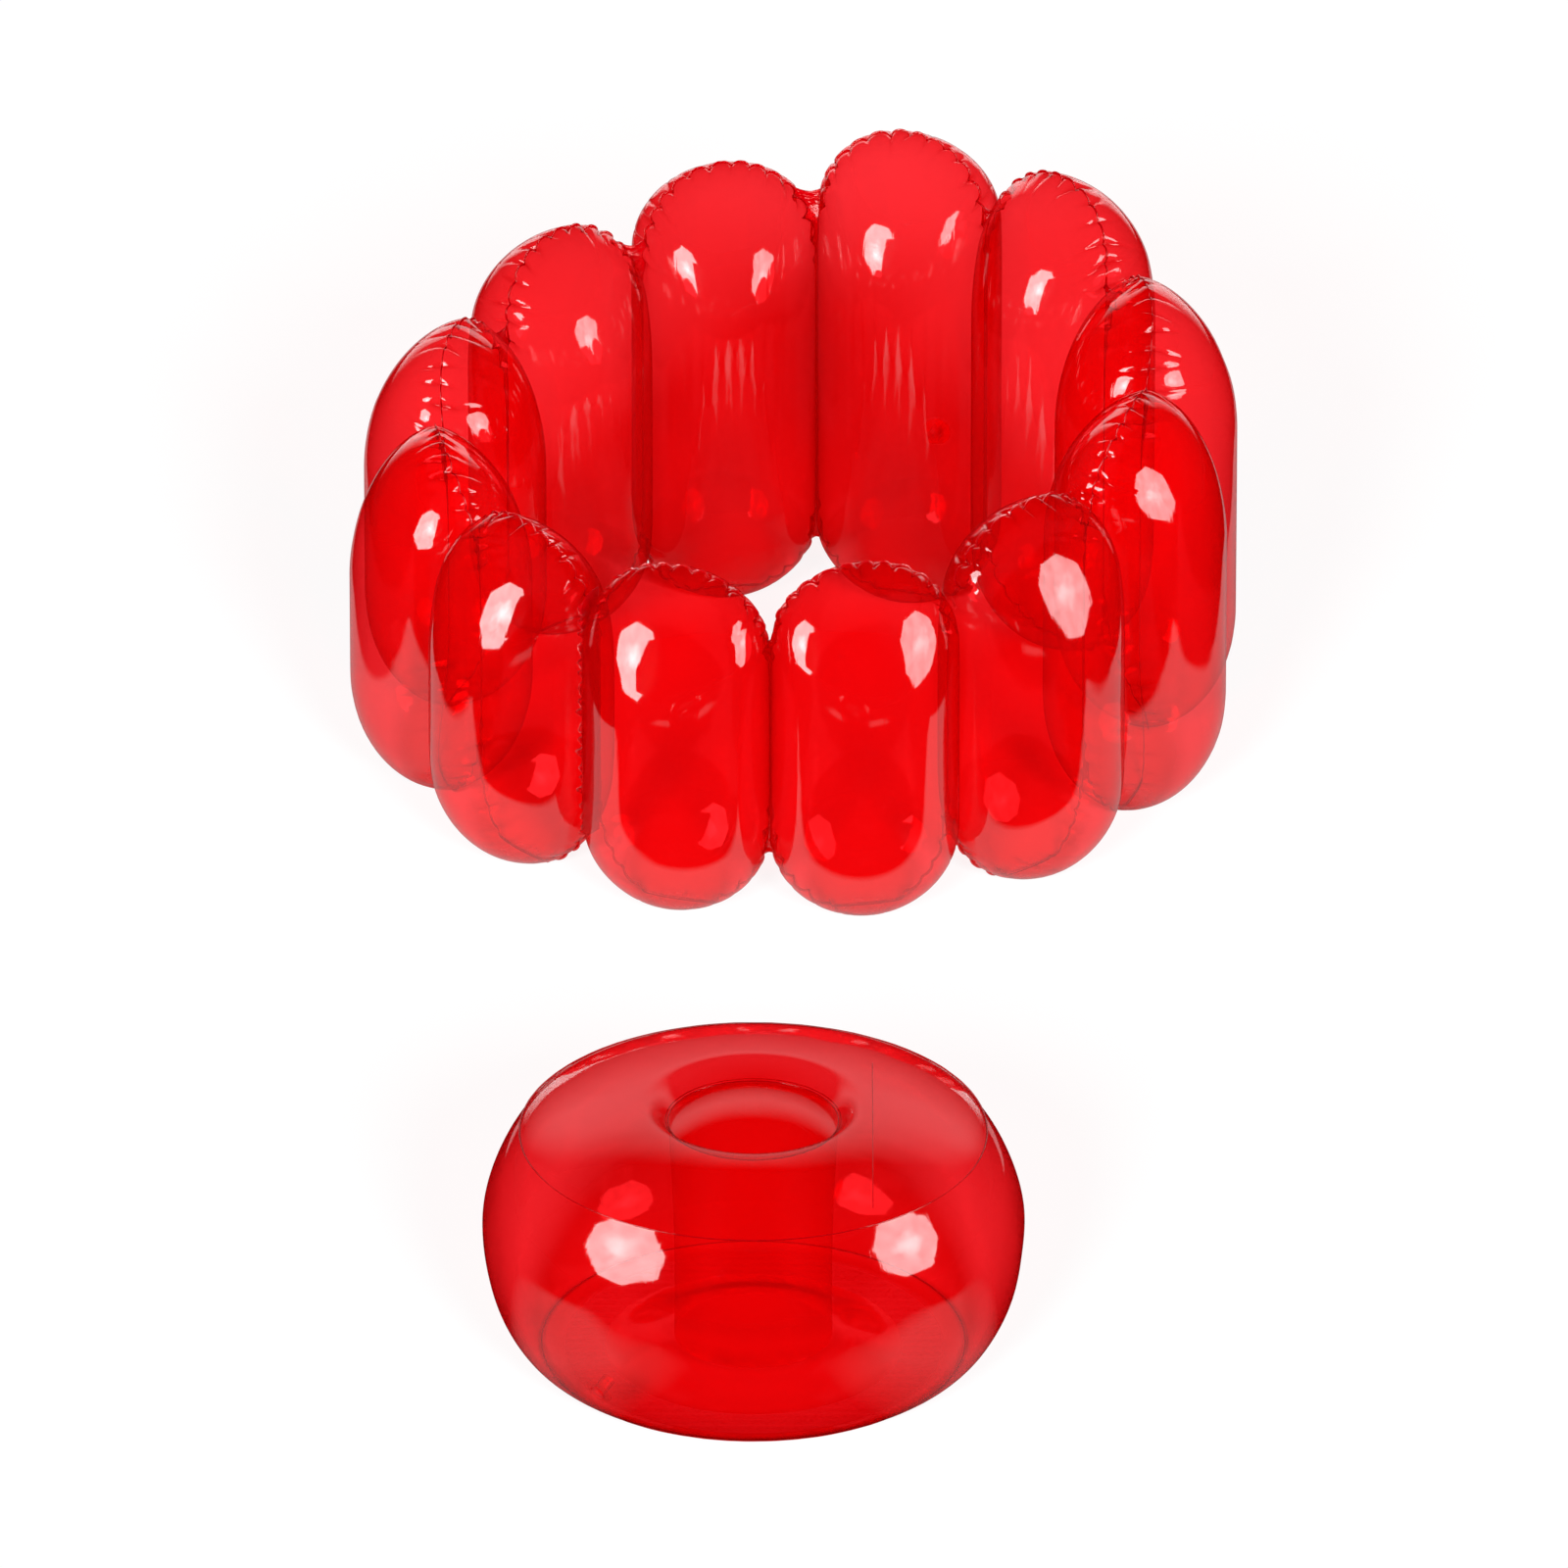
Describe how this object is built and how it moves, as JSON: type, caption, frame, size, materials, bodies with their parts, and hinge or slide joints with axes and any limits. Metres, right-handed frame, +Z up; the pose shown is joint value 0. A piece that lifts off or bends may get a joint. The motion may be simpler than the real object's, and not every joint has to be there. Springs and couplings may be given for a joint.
{
  "type": "inflatable chair",
  "caption": "Inflatable chair in clear red vinyl: a ring of upright air cells, low at the front and tall at the back, with a separate round seat that has a dimpled top.",
  "frame": {"origin": "on the floor, under the centre of the box round the ring and the seat together", "axes": "+Z up; +Y from the seat towards the ring; the chair's open front faces -Y turned 33.9 degrees towards -X"},
  "size_m": [1.0386, 2.3162, 0.605],
  "materials": {
    "clear_vinyl": "high gloss, see-through film",
    "welded_vinyl": "gloss, two films welded together",
    "valve_vinyl": "moulded, soft gloss"
  },
  "bodies": {
    "ring": {"cell_01_outer_skin": "clear_vinyl", "cell_01_inner_skin": "clear_vinyl", "cell_02_outer_skin": "clear_vinyl", "cell_02_inner_skin": "clear_vinyl", "cell_03_outer_skin": "clear_vinyl", "cell_03_inner_skin": "clear_vinyl", "cell_04_outer_skin": "clear_vinyl", "cell_04_inner_skin": "clear_vinyl", "cell_05_outer_skin": "clear_vinyl", "cell_05_inner_skin": "clear_vinyl", "cell_06_outer_skin": "clear_vinyl", "cell_06_inner_skin": "clear_vinyl", "cell_07_outer_skin": "clear_vinyl", "cell_07_inner_skin": "clear_vinyl", "cell_08_outer_skin": "clear_vinyl", "cell_08_inner_skin": "clear_vinyl", "cell_09_outer_skin": "clear_vinyl", "cell_09_inner_skin": "clear_vinyl", "cell_10_outer_skin": "clear_vinyl", "cell_10_inner_skin": "clear_vinyl", "cell_11_outer_skin": "clear_vinyl", "cell_11_inner_skin": "clear_vinyl", "cell_12_outer_skin": "clear_vinyl", "cell_12_inner_skin": "clear_vinyl", "weld_strip_01_02": "welded_vinyl", "weld_strip_02_03": "welded_vinyl", "weld_strip_03_04": "welded_vinyl", "weld_strip_04_05": "welded_vinyl", "weld_strip_05_06": "welded_vinyl", "weld_strip_06_07": "welded_vinyl", "weld_strip_07_08": "welded_vinyl", "weld_strip_08_09": "welded_vinyl", "weld_strip_09_10": "welded_vinyl", "weld_strip_10_11": "welded_vinyl", "weld_strip_11_12": "welded_vinyl", "weld_strip_12_01": "welded_vinyl", "closing_fin": "welded_vinyl", "ring_valve_base": "valve_vinyl"},
    "ring_neck": {"ring_valve_neck": "valve_vinyl"},
    "ring_stopper": {"ring_valve_stopper": "valve_vinyl"},
    "seat": {"seat_top_sheet": "clear_vinyl", "seat_centre_dome": "clear_vinyl", "seat_side_band": "clear_vinyl", "seat_base_sheet": "clear_vinyl", "seat_base_dome": "clear_vinyl", "seat_column": "welded_vinyl", "seat_valve_base": "valve_vinyl"},
    "seat_neck": {"seat_valve_neck": "valve_vinyl"},
    "seat_stopper": {"seat_valve_stopper": "valve_vinyl"}
  },
  "joints": [
    {"name": "seat_lift", "type": "slide", "parent": "ring", "child": "seat", "axis": [0, 0, 1], "range_m": [0, 0.65]},
    {"name": "ring_neck_pull", "type": "slide", "parent": "ring", "child": "ring_neck", "axis": [0.3239, 0.9461, 0], "range_m": [0, 0.012]},
    {"name": "ring_stopper_hinge", "type": "hinge", "parent": "ring_neck", "child": "ring_stopper", "pos_m": [0.17152, 1.13171, 0.1758], "axis": [0.9461, -0.3239, 0], "range_deg": [0, 120]},
    {"name": "seat_neck_pull", "type": "slide", "parent": "seat", "child": "seat_neck", "axis": [-0.555, -0.7233, -0.4108], "range_m": [0, 0.012]},
    {"name": "seat_stopper_hinge", "type": "hinge", "parent": "seat_neck", "child": "seat_stopper", "pos_m": [-0.2232, -1.09216, 0.06831], "axis": [-0.7934, 0.6088, 0], "range_deg": [0, 120]}
  ]
}
